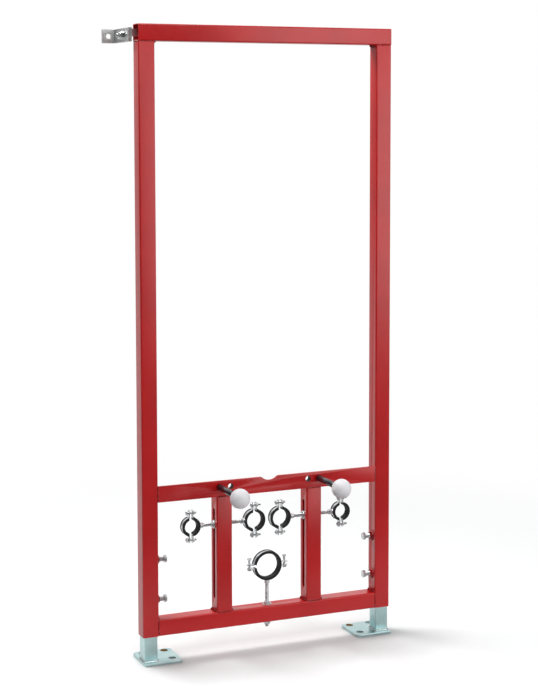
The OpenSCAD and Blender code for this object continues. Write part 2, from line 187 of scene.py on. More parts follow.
class ShaderShop:
    """Builds one node tree."""

    def __init__(self, tree: bpy.types.NodeTree) -> None:
        """Empties the tree of a material or of the world and keeps it."""
        self.tree = tree
        tree.nodes.clear()

    def node(self, kind: str, settings: dict[str, Any], inputs: dict[Any, Any], output: Any = 0) -> Wire:
        """Adds a node, sets it and feeds its inputs.

        Args:
            kind: the node's type.
            settings: the node's own properties.
            inputs: value or wire for each input, by name or index.
            output: name or index of the output to return.

        Returns:
            The chosen output.
        """
        made = self.tree.nodes.new(kind)
        for key, value in settings.items():
            setattr(made, key, value)
        for key, value in inputs.items():
            if isinstance(value, Wire):
                self.tree.links.new(value.socket, made.inputs[key])
            else:
                made.inputs[key].default_value = value
        return Wire(self, made.outputs[output])

    def place(self) -> Wire:
        """Gives the object coordinates."""
        return self.node("ShaderNodeTexCoord", {}, {}, "Object")

    def coordinate(self, where: Wire, axis: int) -> Wire:
        """Gives X, Y or Z of a place or direction, by its number from 0."""
        return self.node("ShaderNodeSeparateXYZ", {}, {"Vector": where}, axis)

    def noise(self, where: Wire, scale: float, detail: float = 3.0, rough: float = 0.5) -> Wire:
        """Gives noise about 0.5, with cells per metre, finer layers and the strength of these."""
        inputs = {"Vector": where, "Scale": scale, "Detail": detail, "Roughness": rough}
        return self.node("ShaderNodeTexNoise", {}, inputs)

    def stretch(self, where: Wire, scale: Triple) -> Wire:
        """Scales coordinates along X, Y and Z."""
        return self.node("ShaderNodeMapping", {}, {"Vector": where, "Scale": scale})

    def off_axis(self, where: Wire, axes: tuple[int, int], middle: Point) -> Wire:
        """Gives the distance from the nearest of the axes that mirror one another.

        Args:
            where: the place.
            axes: numbers of the two coordinates across the axes.
            middle: where an axis lies in these, as distances from the mirror planes.

        Returns:
            The distance.
        """
        across = []
        for axis, place in zip(axes, middle):
            across.append((self.coordinate(where, axis) ** 2) ** 0.5 - place)
        return (across[0] ** 2 + across[1] ** 2) ** 0.5

    def blend(self, mask: Wire, first: Any, second: Any) -> Wire:
        """Mixes two colours or wires, from the first where the mask is 0 to the second at 1."""
        pair = [c if isinstance(c, Wire) else (*c, 1.0) for c in (first, second)]
        return self.node("ShaderNodeMix", {"data_type": "RGBA"}, {0: mask, 6: pair[0], 7: pair[1]}, 2)

    def bump(self, height: Wire, strength: float, distance: float) -> Wire:
        """Turns a pattern into a normal, with the strength and the relief in metres."""
        inputs = {"Height": height, "Strength": strength, "Distance": distance}
        return self.node("ShaderNodeBump", {}, inputs)

    def surface(self, inputs: dict[str, Any]) -> None:
        """Adds the principled shader with its inputs and links it to the output."""
        self.output(self.node("ShaderNodeBsdfPrincipled", {}, inputs, "BSDF"))

    def output(self, shader: Wire) -> None:
        """Links a finished shader to the tree's output.

        Args:
            shader: the shader.
        """
        kind = "World" if isinstance(self.tree.id_data, bpy.types.World) else "Material"
        end = self.tree.nodes.new("ShaderNodeOutput" + kind)
        self.tree.links.new(shader.socket, end.inputs["Surface"])


def new_material(name: str) -> tuple[Material, ShaderShop]:
    """Makes an empty material.

    Args:
        name: the material's name.

    Returns:
        The material and its tree.
    """
    material = bpy.data.materials.new(name)
    material.use_nodes = True
    return material, ShaderShop(material.node_tree)


# Finishes


@dataclass(frozen=True)
class PowderCoat:
    """Red powder coat: satin, with a fine orange-peel skin, uneven tone and painted shade in the threaded
    bores.
    """

    name: str
    colour: Triple = (0.50, 0.0045, 0.0060)
    deep: Triple = (0.44, 0.0035, 0.0050)
    roughness: float = 0.27
    peel: float = 0.00006
    # colour of the painted shade inside the threaded bores
    bore_shade_tint: Triple = (0.012, 0.008, 0.008)
    tone_scale: float = 9
    haze_scale: float = 60
    skin_scale: float = 900

    def build(self) -> Material:
        """Makes the material."""
        material, shop = new_material(self.name)
        where = shop.place()
        tone = shop.noise(where, self.tone_scale, 2).ramp(0.35, 0.7)
        skin = shop.noise(where, self.skin_scale, 2)
        haze = shop.noise(where, self.haze_scale, 3)
        off_bore = shop.off_axis(where, (0, 2), (SIZES.hole_x, SIZES.base_z + SIZES.fixing_z))
        # painted shade: the base colour is darkened and roughened inside the threaded bores at the fixing
        # holes
        bore_shade = 1.0 - off_bore.ramp(SIZES.hole_r + 0.05 * MM, SIZES.hole_r + 0.25 * MM)
        shop.surface({
            "Base Color": shop.blend(bore_shade, shop.blend(tone, self.colour, self.deep), self.bore_shade_tint),
            "Roughness": self.roughness + 0.10 * haze + 0.3 * bore_shade,
            "Specular IOR Level": 0.5,
            "Normal": shop.bump(skin, 0.5, self.peel),
        })
        return material


@dataclass(frozen=True)
class Plating:
    """Zinc plating with soft clouds and faint drawing lines, browned in the rear inner anchor holes."""

    name: str
    colour: Triple
    tint: Triple
    roughness: float
    clouds: float
    lines: Triple = (60.0, 60.0, 600.0)
    grain_scale: float = 500
    relief: float = 0.00004
    hole_tint: Triple = (0.42, 0.27, 0.08)

    def build(self) -> Material:
        """Makes the material."""
        material, shop = new_material(self.name)
        where = shop.place()
        cloud = shop.noise(where, self.clouds, 4, 0.6)
        off_hole = shop.off_axis(where, (0, 1), (SIZES.anchor_x, SIZES.anchor_y))
        rear = shop.coordinate(where, 1).ramp(0.0, 1 * MM)
        brown = rear * (1.0 - off_hole.ramp(SIZES.anchor_r + 0.1 * MM, SIZES.anchor_r + 0.4 * MM))
        drawn = shop.noise(shop.stretch(where, self.lines), 1.0, 2)
        grain = shop.noise(where, self.grain_scale, 2)
        zinc = shop.blend(cloud.ramp(0.38, 0.66), self.colour, self.tint)
        shop.surface({
            "Base Color": shop.blend(brown, zinc, self.hole_tint),
            "Metallic": 0.92,
            "Roughness": self.roughness + 0.16 * (cloud - 0.5) + 0.06 * drawn,
            "Normal": shop.bump(drawn + 0.6 * grain, 0.25, self.relief),
        })
        return material


@dataclass(frozen=True)
class ProfiledRubber:
    """Black rubber with a dull, finely grained skin and a slight bloom."""

    name: str
    colour: Triple = (0.009, 0.009, 0.0095)
    bloomed: Triple = (0.016, 0.016, 0.017)
    roughness: float = 0.52
    bloom_scale: float = 120
    grain_scale: float = 1500
    relief: float = 0.00005

    def build(self) -> Material:
        """Makes the material."""
        material, shop = new_material(self.name)
        where = shop.place()
        bloom = shop.noise(where, self.bloom_scale, 3).ramp(0.45, 0.75)
        shop.surface({
            "Base Color": shop.blend(bloom, self.colour, self.bloomed),
            "Roughness": self.roughness + 0.12 * bloom,
            "Specular IOR Level": 0.25,
            "Normal": shop.bump(shop.noise(where, self.grain_scale, 2), 0.4, self.relief),
        })
        return material


@dataclass(frozen=True)
class MouldedPlastic:
    """Moulded plastic with faint flow marks."""

    name: str
    colour: Triple
    shade: Triple
    roughness: float
    specular: float
    scatter: float = 0.0
    scatter_depth: float = 4 * MM
    marks: Triple = (40, 14, 40)
    grain_scale: float = 700
    relief: float = 0.00003

    def build(self) -> Material:
        """Makes the material."""
        material, shop = new_material(self.name)
        where = shop.place()
        flow = shop.noise(shop.stretch(where, self.marks), 1.0, 3)
        shop.surface({
            "Base Color": shop.blend(flow.ramp(0.35, 0.7), self.colour, self.shade),
            "Roughness": self.roughness + 0.08 * flow,
            "Specular IOR Level": self.specular,
            "Subsurface Weight": self.scatter,
            "Subsurface Radius": (self.scatter_depth,) * 3,
            "Normal": shop.bump(shop.noise(where, self.grain_scale, 2), 0.3, self.relief),
        })
        return material


class Finishes:
    """All finishes of the part: one material for each of the record's slots, and two for welds."""

    def __init__(self) -> None:
        """Builds every material once."""
        recipes = {
            "red_paint": PowderCoat("red_powder_coat"),
            "foot_zinc": Plating("blue_passivated_zinc", (0.43, 0.60, 0.61), (0.52, 0.66, 0.66), 0.34, 45.0),
            "bracket_zinc": Plating("strip_zinc", (0.60, 0.60, 0.60), (0.70, 0.70, 0.70), 0.34, 60.0),
            "band_zinc": Plating("band_zinc", (0.55, 0.57, 0.59), (0.68, 0.69, 0.70), 0.22, 80.0),
            "bright_zinc": Plating("fastener_zinc", (0.50, 0.51, 0.52), (0.64, 0.64, 0.65), 0.26, 120.0),
            "rubber": ProfiledRubber("profiled_rubber"),
            "sleeve_plastic": MouldedPlastic(
                "black_sleeve", (0.010, 0.010, 0.014), (0.016, 0.016, 0.022), 0.22, 0.6
            ),
            "cap_plastic": MouldedPlastic(
                "ball_cap_plastic", (0.82, 0.81, 0.84), (0.77, 0.76, 0.79), 0.42, 0.45, 0.15
            ),
        }
        self.by_slot = {slot: recipe.build() for slot, recipe in recipes.items()}
        self.weld = PowderCoat(
            "red_coated_weld", (0.30, 0.002, 0.004), (0.19, 0.001, 0.003), 0.22, 0.0001
        ).build()
        self.foot_weld = Plating(
            "plated_weld", (0.42, 0.48, 0.48), (0.70, 0.75, 0.75), 0.22, 260.0
        ).build()

    def dress(self, piece: Part, slot: str, body: str, other: Optional[Material] = None) -> None:
        """Gives a finished piece the material of its slot and its body.

        Args:
            piece: the piece.
            slot: the record's material slot.
            body: the body that carries the piece.
            other: material to use instead of the slot's own.
        """
        piece.data.materials.clear()
        piece.data.materials.append(other or self.by_slot[slot])
        for polygon in piece.data.polygons:
            polygon.material_index = 0
        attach(piece, body)
        LOG.info("%s: %d faces on %s, %s", piece.name, len(piece.data.polygons), body, slot)


# Modelling


class Workbench:
    """Modelling moves, each made with Blender's own operators."""

    def deselect(self) -> None:
        """Goes to object mode and leaves nothing selected."""
        if bpy.context.object and bpy.context.object.mode != "OBJECT":
            bpy.ops.object.mode_set(mode="OBJECT")
        bpy.ops.object.select_all(action="DESELECT")

    def pick(self, piece: Part) -> None:
        """Makes one piece the only selected and the active one.

        Args:
            piece: the piece.
        """
        self.deselect()
        piece.select_set(True)
        bpy.context.view_layer.objects.active = piece

    def edit(self, piece: Part, mode: str = "VERT") -> None:
        """Opens a piece in edit mode with everything selected.

        Args:
            piece: the piece.
            mode: VERT, EDGE or FACE.
        """
        self.pick(piece)
        bpy.ops.object.mode_set(mode="EDIT")
        bpy.ops.mesh.select_mode(type=mode)
        bpy.ops.mesh.select_all(action="SELECT")

    def close(self) -> None:
        """Merges doubles, turns normals outwards and leaves edit mode."""
        bpy.ops.mesh.select_all(action="SELECT")
        bpy.ops.mesh.remove_doubles(threshold=CLOSE)
        bpy.ops.mesh.normals_make_consistent(inside=False)
        self.deselect()

    def named(self, name: str) -> Part:
        """Names the active object, which an operator has just added.

        Args:
            name: its name.

        Returns:
            The object.
        """
        piece = bpy.context.object
        piece.name = piece.data.name = name
        return piece

    def trim(self, point: Triple, normal: Triple) -> None:
        """Cuts the mesh in edit mode by a plane, drops what lies past it and closes the cut."""
        bpy.ops.mesh.select_all(action="SELECT")
        bpy.ops.mesh.bisect(
            plane_co=point, plane_no=normal, use_fill=True, clear_outer=True, clear_inner=False
        )

    def profile(self, name: str, points: Sequence[Point], closed: bool) -> Part:
        """Draws a line in the XZ plane, one extruded corner after the other.

        Args:
            name: name of the piece.
            points: radius and height of each corner.
            closed: whether the line returns to its start.

        Returns:
            The piece, left in edit mode with everything selected.
        """
        self.deselect()
        bpy.ops.mesh.primitive_plane_add(size=MM)
        piece = self.named(name)
        self.edit(piece)
        bpy.ops.mesh.merge(type="CENTER")
        bpy.ops.transform.translate(value=(points[0][0], 0, points[0][1]))
        corners = list(points) + ([points[0]] if closed else [])
        for (x0, z0), (x1, z1) in zip(corners, corners[1:]):
            bpy.ops.mesh.extrude_region_move(TRANSFORM_OT_translate={"value": (x1 - x0, 0, z1 - z0)})
        bpy.ops.mesh.select_all(action="SELECT")
        bpy.ops.mesh.remove_doubles(threshold=CLOSE / 10)
        return piece

    def turned(self, name: str, points: Sequence[Point], closed: bool = False, steps: int = 48) -> Part:
        """Turns a profile about Z, as on a lathe.

        Args:
            name: name of the piece.
            points: radius and height of each corner.
            closed: whether the profile is a closed loop.
            steps: number of faces round the turn.

        Returns:
            The turned piece.
        """
        piece = self.profile(name, points, closed)
        bpy.ops.mesh.spin(steps=steps, angle=2 * math.pi, center=(0, 0, 0), axis=(0, 0, 1))
        self.close()
        return piece

    def threaded(self, name: str, radius: float, pitch: float, length: float, steps: int = 20) -> Part:
        """Makes a threaded bar from Z = 0 upwards, cut square at both ends.

        Args:
            name: name of the piece.
            radius: outer radius of the thread.
            pitch: pitch of the thread.
            length: length of the bar.
            steps: number of faces round one turn.

        Returns:
            The bar.
        """
        root, middle, crest = radius - 0.58 * pitch, -pitch / 2, 0.12 * pitch
        tooth = [(root, -pitch), (radius, middle - crest / 2), (radius, middle + crest / 2), (root, 0)]
        piece = self.profile(name, tooth, False)
        bpy.ops.object.mode_set(mode="OBJECT")
        screw = piece.modifiers.new("thread", "SCREW")
        screw.axis, screw.angle, screw.screw_offset = "Z", 2 * math.pi, pitch
        screw.iterations = math.ceil(length / pitch) + 2
        screw.steps = screw.render_steps = steps
        screw.use_merge_vertices, screw.merge_threshold = True, CLOSE
        self.apply(piece)
        self.edit(piece)
        bpy.ops.mesh.remove_doubles(threshold=CLOSE)
        self.trim((0, 0, 0), (0, 0, -1))
        self.trim((0, 0, length), (0, 0, 1))
        self.close()
        return piece

    def stack(self, name: str, layers: Sequence[Point], sides: int, turn: float = 0.0) -> Part:
        """Raises a regular polygon through layers, extruding and scaling it at each.

        Args:
            name: name of the piece.
            layers: corner radius and height of each layer.
            sides: number of corners.
            turn: turn of the polygon about Z, in radians.

        Returns:
            The closed solid.
        """
        self.deselect()
        first, height = layers[0]
        bpy.ops.mesh.primitive_circle_add(
            vertices=sides, radius=first, fill_type="NGON", location=(0, 0, height)
        )
        piece = self.named(name)
        self.edit(piece, "FACE")
        bpy.ops.transform.rotate(value=turn - math.pi / 2, orient_axis="Z", center_override=(0, 0, 0))
        for (r0, z0), (r1, z1) in zip(layers, layers[1:]):
            bpy.ops.mesh.extrude_region_move(TRANSFORM_OT_translate={"value": (0, 0, z1 - z0)})
            bpy.ops.transform.resize(value=(r1 / r0, r1 / r0, 1))
        self.close()
        return piece

    def apply(self, piece: Part) -> None:
        """Applies all modifiers of a piece.

        Args:
            piece: the piece.
        """
        self.pick(piece)
        for modifier in list(piece.modifiers):
            bpy.ops.object.modifier_apply(modifier=modifier.name)
        self.deselect()

    def boolean(self, piece: Part, tool: Part, operation: str = "DIFFERENCE", solver: str = "EXACT") -> None:
        """Cuts, joins or intersects a piece with a tool, which is then thrown away.

        Args:
            piece: the piece.
            tool: the other solid.
            operation: DIFFERENCE, UNION or INTERSECT.
            solver: EXACT or MANIFOLD, which needs two closed solids.
        """
        cut = piece.modifiers.new("cut", "BOOLEAN")
        cut.operation, cut.object, cut.solver = operation, tool, solver
        self.apply(piece)
        bpy.data.objects.remove(tool)

    def bevel(self, piece: Part, width: float, angle: float) -> None:
        """Breaks the sharp edges of a piece.

        Args:
            piece: the piece.
            width: width of the broken edge.
            angle: least angle of a sharp edge, in degrees.
        """
        bevel = piece.modifiers.new("edges", "BEVEL")
        bevel.width, bevel.segments, bevel.limit_method = width, 2, "ANGLE"
        bevel.angle_limit, bevel.use_clamp_overlap = math.radians(angle), True
        self.apply(piece)

    def smooth(self, piece: Part, angle: float = 35.0) -> None:
        """Shades a piece smooth, except over sharp edges.

        Args:
            piece: the piece.
            angle: least angle of an edge that stays sharp, in degrees.
        """
        self.pick(piece)
        bpy.ops.object.shade_smooth_by_angle(angle=math.radians(angle))
        self.deselect()

    def copy(self, piece: Part, name: str, matrix: Matrix) -> Part:
        """Copies a piece with a mesh of its own and lays the copy in place.

        Args:
            piece: the model.
            name: name of the copy.
            matrix: where the copy goes.

        Returns:
            The copy, with its place in its mesh.
        """
        twin = piece.copy()
        twin.data = piece.data.copy()
        twin.name = twin.data.name = name
        bpy.context.scene.collection.objects.link(twin)
        twin.data.transform(matrix)
        return twin

    def join(self, name: str, pieces: Sequence[Part]) -> Part:
        """Joins pieces into one.

        Args:
            name: name of the joined piece.
            pieces: the pieces.

        Returns:
            The joined piece.
        """
        self.pick(pieces[0])
        for piece in pieces:
            piece.select_set(True)
        if len(pieces) > 1:
            bpy.ops.object.join()
        joined = self.named(name)
        self.deselect()
        return joined

    def drop(self, *pieces: Part) -> None:
        """Throws models away once they are copied."""
        for piece in pieces:
            bpy.data.objects.remove(piece)

    def refined(self, node: Part, name: str, width: float, angle: float = 40.0) -> Part:
        """Copies a CAD node, merges it and breaks its sharp edges.

        Args:
            node: the CAD node.
            name: name of the copy.
            width: width of the broken edges, or 0 to leave them.
            angle: least angle of a sharp edge, in degrees.

        Returns:
            The refined copy, which stands for the node.
        """
        piece = bpy.data.objects.new(name, node.data.copy())
        piece.data.name = name
        bpy.context.scene.collection.objects.link(piece)
        self.edit(piece)
        bpy.ops.mesh.remove_doubles(threshold=2 * CLOSE)
        bpy.ops.mesh.dissolve_limited(angle_limit=math.radians(0.3))
        bpy.ops.object.mode_set(mode="OBJECT")
        if width:
            self.bevel(piece, width, angle)
        self.smooth(piece)
        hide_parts(node.name)
        return piece


@dataclass
class Hardware:
    """Screws, nuts and washers, each modelled once along +Z."""

    bench: Workbench

    def hex_nut(self, name: str, flats: float, height: float, bore: float = 0.0) -> Part:
        """Models a hexagon with chamfered corners, and a countersunk bore if it has one.

        Args:
            name: name of the piece.
            flats: width across the flats.
            height: height of the hexagon.
            bore: radius of the bore, or 0.

        Returns:
            The nut or head, standing on Z = 0.
        """
        corner, face = flats / math.sqrt(3), 0.485 * flats
        rise = (corner - face) * 0.6
        nut = self.bench.stack(name, [(corner, 0), (corner, height)], 6)
        wide = corner * 1.01
        rounding = [(face, -CLOSE), (wide, rise), (wide, height - rise), (face, height + CLOSE)]
        self.bench.boolean(nut, self.bench.stack("corner_tool", rounding, 48), "INTERSECT")
        if bore:
            sink, over = bore * 1.09, 1 * MM
            drill = [
                (sink + over, -over), (bore, sink - bore), (bore, height - sink + bore),
                (sink + over, height + over),
            ]
            self.bench.boolean(nut, self.bench.stack("bore_tool", drill, 32))
        self.bench.smooth(nut, 25)
        return nut

    def washer(self, name: str, radius: float, bore: float, height: float) -> Part:
        """Models a stamped washer with one rounded and one sharp rim.

        Args:
            name: name of the piece.
            radius: outer radius.
            bore: radius of the hole.
            height: thickness.

        Returns:
            The washer, standing on Z = 0.
        """
        soft = height * 0.3
        section = [
            (bore, 0), (radius, 0), (radius, height - soft), (radius - soft, height), (bore + soft, height),
            (bore, height - soft),
        ]
        washer = self.bench.turned(name, section, True, 40)
        self.bench.smooth(washer, 30)
        return washer

    def pan_screw(self, name: str, radius: float, head: float, head_h: float, length: float) -> Part:
        """Models a pan-head screw with a cross recess; its head's bearing face is Z = 0.

        Args:
            name: name of the piece.
            radius: radius of the thread.
            head: radius of the head.
            head_h: height of the head.
            length: length of the shank, which points up.

        Returns:
            The screw.
        """
        rim = 0.35 * head_h
        dome = []
        for degrees in range(0, 73, 18):
            angle = math.radians(degrees)
            dome.append((head * math.cos(angle), -rim - (head_h - rim) * math.sin(angle)))
        cap = self.bench.turned(name, [(0, 0), (head, 0)] + dome + [(0, -head_h)], False, 32)
        recess = (head * 1.1, head * 0.24, head_h * 1.1)
        for turn in (0.0, math.pi / 2):
            self.bench.deselect()
            bpy.ops.mesh.primitive_cube_add(size=1, location=(0, 0, -head_h), scale=recess)
            tool = bpy.context.object
            self.bench.edit(tool, "FACE")
            bpy.ops.mesh.bevel(offset=0.1 * MM, segments=1)
            bpy.ops.mesh.select_all(action="SELECT")
            bpy.ops.transform.rotate(value=turn, orient_axis="Z", center_override=(0, 0, -head_h))
            self.bench.close()
            self.bench.boolean(cap, tool)
        self.bench.smooth(cap, 30)
        shank = self.bench.threaded(name + "_shank", radius, 0.8 * MM, length, 14)
        self.bench.smooth(shank, 60)
        return self.bench.join(name, [cap, shank])


# Sub-assemblies


@dataclass
class Assembly:
    """What every sub-assembly is built with."""

    bench: Workbench
    hardware: Hardware
    finishes: Finishes
    nodes: dict[str, Part]

    def refine(self, node: str, slot: str, body: str, width: float) -> Part:
        """Refines a CAD node and dresses the copy.

        Args:
            node: name of the CAD node.
            slot: the record's material slot.
            body: the body that carries it.
            width: width of the broken edges.

        Returns:
            The refined piece.
        """
        piece = self.bench.refined(self.nodes[node], node + "_finished", width)
        self.finishes.dress(piece, slot, body)
        return piece

    def set_in(self, part: Part, place: Matrix, angle: float = 60.0) -> Part:
        """Shades a part smooth and lays it in place.

        Args:
            part: the part, as it was modelled.
            place: where it goes.
            angle: least angle of an edge that stays sharp, in degrees.

        Returns:
            The same part.
        """
        self.bench.smooth(part, angle)
        part.data.transform(place)
        return part

    def finish(
        self, name: str, parts: Iterable[Part], slot: str, body: str, stands_for: Sequence[str] = (),
        other: Optional[Material] = None,
    ) -> None:
        """Joins parts to one piece, dresses it and lets it stand for CAD nodes.

        Args:
            name: name of the piece.
            parts: its parts, in place.
            slot: the record's material slot.
            body: the body that carries it.
            stands_for: CAD nodes that it replaces.
            other: material to use instead of the slot's own.
        """
        piece = self.bench.join(name, list(parts))
        self.finishes.dress(piece, slot, body, other)
        if stands_for:
            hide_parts(*stands_for)


@dataclass
class Steelwork(Assembly):
    """The red tubes and the crossbar, with their edges broken."""

    edge: float = 0.5 * MM
    bars: tuple[str, ...] = (
        "left_upright", "right_upright", "top_rail", "bottom_rail", "crossbar",
        "left_mullion", "right_mullion",
    )

    def build(self) -> None:
        """Refines every red bar of the frame."""
        for node in self.bars:
            self.refine(node, "red_paint", "frame", self.edge)


@dataclass
class Welds(Assembly):
    """Coated weld beads at the joints of the frame, and straight beads for other joints."""

    seam_r: float = 1.5 * MM
    fillet_r: float = 3.2 * MM
    ripple: float = 1.6 * MM
    sunk: float = 0.8 * MM  # from a tube's face in to the middle of a seam
    proud: float = 0.6 * MM  # from a corner out to the middle of a fillet
    low_proud: float = 0.4 * MM

    def bead(self, name: str, length: float, radius: float, swell: float = 0.14) -> Part:
        """Models a straight, rippled bead along X, centred on the origin.

        Args:
            name: name of the piece.
            length: its length.
            radius: its radius.
            swell: height of the ripples as a share of the radius.

        Returns:
            The bead.
        """
        count = max(4, round(length / self.ripple))
        step = length / count
        layers = [(radius * 0.35, 0.0), (radius * 0.8, step * 0.3)]
        for i in range(count - 1):
            layers += [(radius * (1 + swell), (i + 0.8) * step), (radius * (1 - swell), (i + 1.05) * step)]
        layers += [(radius * 0.8, length - step * 0.3), (radius * 0.35, length)]
        bead = self.bench.stack(name, layers, 10)
        bead.data.transform(Aim.RIGHT.at(-length / 2, 0, 0))
        self.bench.smooth(bead, 60)
        return bead

    def lay(self, model: Part, at: Triple, along: str, scale: float = 1.0) -> Part:
        """Lays a copy of a bead.

        Args:
            model: the bead, along X.
            at: its middle.
            along: X, Y or Z.
            scale: stretch along its length.

        Returns:
            The copy.
        """
        turn = {
            "X": Matrix.Identity(4),
            "Y": Matrix.Rotation(math.pi / 2, 4, "Z"),
            "Z": Matrix.Rotation(math.pi / 2, 4, "Y"),
        }[along]
        stretch = Matrix.Diagonal((scale, 1, 1, 1))
        return self.bench.copy(model, "bead", Matrix.Translation(at) @ turn @ stretch)

    def build(self) -> None:
        """Lays all beads, grouped by the joint that they close."""
        s = SIZES
        mid, faces = s.mid_y, (s.front_y + self.sunk, s.front_y + s.tube - self.sunk)
        joint, low, high = s.top_z - s.tube, s.base_z + s.tube, s.base_z + s.bar_z
        seam = self.bead("seam_model", s.tube - 5 * MM, self.seam_r)
        fillet = self.bead("fillet_model", s.tube - 6 * MM, self.fillet_r)
        bar = self.bead("bar_model", s.bar_h - 3 * MM, self.seam_r)
        corners, rails, bars, mullions = [], [], [], []
        for side in Side:
            x_mid, x_in = side.value * s.upright_x, side.value * s.inner_x
            x_fillet, x_out = x_in - side.value * self.proud, side.value * (s.half_w - self.sunk)
            corners += [self.lay(seam, (x_mid, y, joint), "X") for y in faces]
            corners.append(self.lay(seam, (x_out, mid, joint), "Y"))
            corners.append(self.lay(fillet, (x_fillet, mid, joint - self.proud), "Y", 0.9))
            rails += [self.lay(seam, (x_in, y, s.base_z + s.tube / 2), "Z") for y in faces]
            rails.append(self.lay(fillet, (x_fillet, mid, low + self.proud), "Y", 0.95))
            rails.append(self.lay(seam, (x_in, mid, s.base_z + self.sunk), "Y"))
            for y in (faces[0], s.front_y + s.bar_t + 0.3 * MM):
                bars.append(self.lay(bar, (x_in, y, high + s.bar_h / 2), "Z"))
            x = side.value * s.mullion_x
            mullions.append(self.lay(seam, (x, faces[0], high), "X"))
            mullions.append(self.lay(seam, (x, s.front_y + s.bar_t, high), "X", 0.9))
            mullions += [self.lay(seam, (x, y, low), "X") for y in faces]
            for way in (-1, 1):
                beside = x + way * (s.tube / 2 + self.low_proud)
                mullions.append(self.lay(fillet, (beside, mid, low + self.low_proud), "Y"))
        groups = {"corner_welds": corners, "rail_welds": rails, "bar_welds": bars, "mullion_welds": mullions}
        for name, beads in groups.items():
            self.finish(name, beads, "red_paint", "frame", other=self.finishes.weld)
        self.bench.drop(seam, fillet, bar)


@dataclass
class Foot(Assembly):
    """A sliding foot: leg tube, drilled plate and the weld between them."""

    side: Side = Side.LEFT
    leg: float = 30 * MM
    plate_t: float = 6 * MM
    bead_r: float = 2.4 * MM
    leg_edge: float = 0.4 * MM
    plate_edge: float = 0.7 * MM
    hole_edge: float = 0.5 * MM

    def build(self) -> None:
        """Refines the leg and plate and lays the weld round the leg."""
        word, body = self.side.word, self.side.word + "_foot"
        self.refine(word + "_leg", "foot_zinc", body, self.leg_edge)
        self.drill(self.refine(word + "_foot_plate", "foot_zinc", body, self.plate_edge))
        welds = Welds(self.bench, self.hardware, self.finishes, self.nodes, ripple=2.4 * MM)
        model = welds.bead("foot_bead_model", self.leg + 2 * MM, self.bead_r, 0.1)
        x, y = self.side.value * SIZES.upright_x, SIZES.mid_y
        reach, up = self.leg / 2, self.plate_t + 0.2 * MM
        beads = [welds.lay(model, (x, y + way * reach, up), "X") for way in (-1, 1)]
        beads += [welds.lay(model, (x + way * reach, y, up), "Y") for way in (-1, 1)]
        self.finish(word + "_foot_weld", beads, "foot_zinc", body, other=self.finishes.foot_weld)
        self.bench.drop(model)

    def drill(self, plate: Part) -> None:
        """Opens the three anchor holes of a plate and breaks their edges.

        Args:
            plate: the plate.
        """
        radius, over, height = SIZES.anchor_r, 1 * MM, self.plate_t
        wide = radius + self.hole_edge
        section = [
            (0, -over), (wide, -over), (wide, 0), (radius, self.hole_edge),
            (radius, height - self.hole_edge), (wide, height), (wide, height + over), (0, height + over),
        ]
        inner, outer = SIZES.anchor_x, SIZES.anchor_x + SIZES.anchor_row
        drills = []
        for x, y in ((inner, -SIZES.anchor_y), (inner, SIZES.anchor_y), (outer, SIZES.anchor_y)):
            drill = self.bench.turned("drill", section)
            drill.data.transform(Matrix.Translation((self.side.value * x, y, 0)))
            drills.append(drill)
        self.bench.boolean(plate, self.bench.join("drills", drills), solver="MANIFOLD")
        self.bench.smooth(plate, 30)


@dataclass
class FootLocks(Assembly):
    """Weld nuts on the uprights and the hexagon screws that lock the feet."""

    flats: float = 15 * MM
    nut_t: float = 6 * MM
    free: float = 11 * MM  # thread between nut and head
    head_t: float = 5.5 * MM
    radius: float = 5 * MM
    pitch: float = 1.5 * MM
    reach_in: float = 2.2 * MM  # thread behind the upright's face
    weld_section: tuple[Point, ...] = (
        (8.4 * MM, 0), (11.4 * MM, 0), (11.1 * MM, 1.6 * MM), (10.0 * MM, 2.9 * MM), (8.2 * MM, 3.4 * MM),
    )

    def build(self) -> None:
        """Models one nut, one screw and one weld collar and sets all four of each."""
        nut = self.hardware.hex_nut("lock_nut_model", self.flats, self.nut_t, self.radius + 0.05 * MM)
        head = self.hardware.hex_nut("lock_head_model", self.flats, self.head_t)
        head_at = self.nut_t + self.free
        head.data.transform(Matrix.Translation((0, 0, head_at)))
        bar = self.bench.threaded("lock_bar", self.radius, self.pitch, self.reach_in + head_at + 1 * MM)
        self.set_in(bar, Matrix.Translation((0, 0, -self.reach_in)))
        screw = self.bench.join("lock_screw_model", [head, bar])
        ring = self.bench.turned("lock_weld_model", self.weld_section, True, 24)
        self.bench.smooth(ring, 60)
        places = []
        for side in Side:
            aim = Aim.RIGHT if side is Side.LEFT else Aim.LEFT
            for z in SIZES.lock_z:
                places.append(aim.at(side.value * SIZES.inner_x, SIZES.mid_y, SIZES.base_z + z))
        for name, model, slot, nodes, other in (
            ("lock_weld_nuts", nut, "red_paint", ["lock_nuts"], self.finishes.weld),
            ("lock_nut_welds", ring, "red_paint", [], self.finishes.weld),
            ("lock_hexagon_screws", screw, "bright_zinc", ["lock_screws"], None),
        ):
            copies = [self.bench.copy(model, "copy", place) for place in places]
            self.finish(name, copies, slot, "frame", nodes, other)
        self.bench.drop(nut, screw, ring)


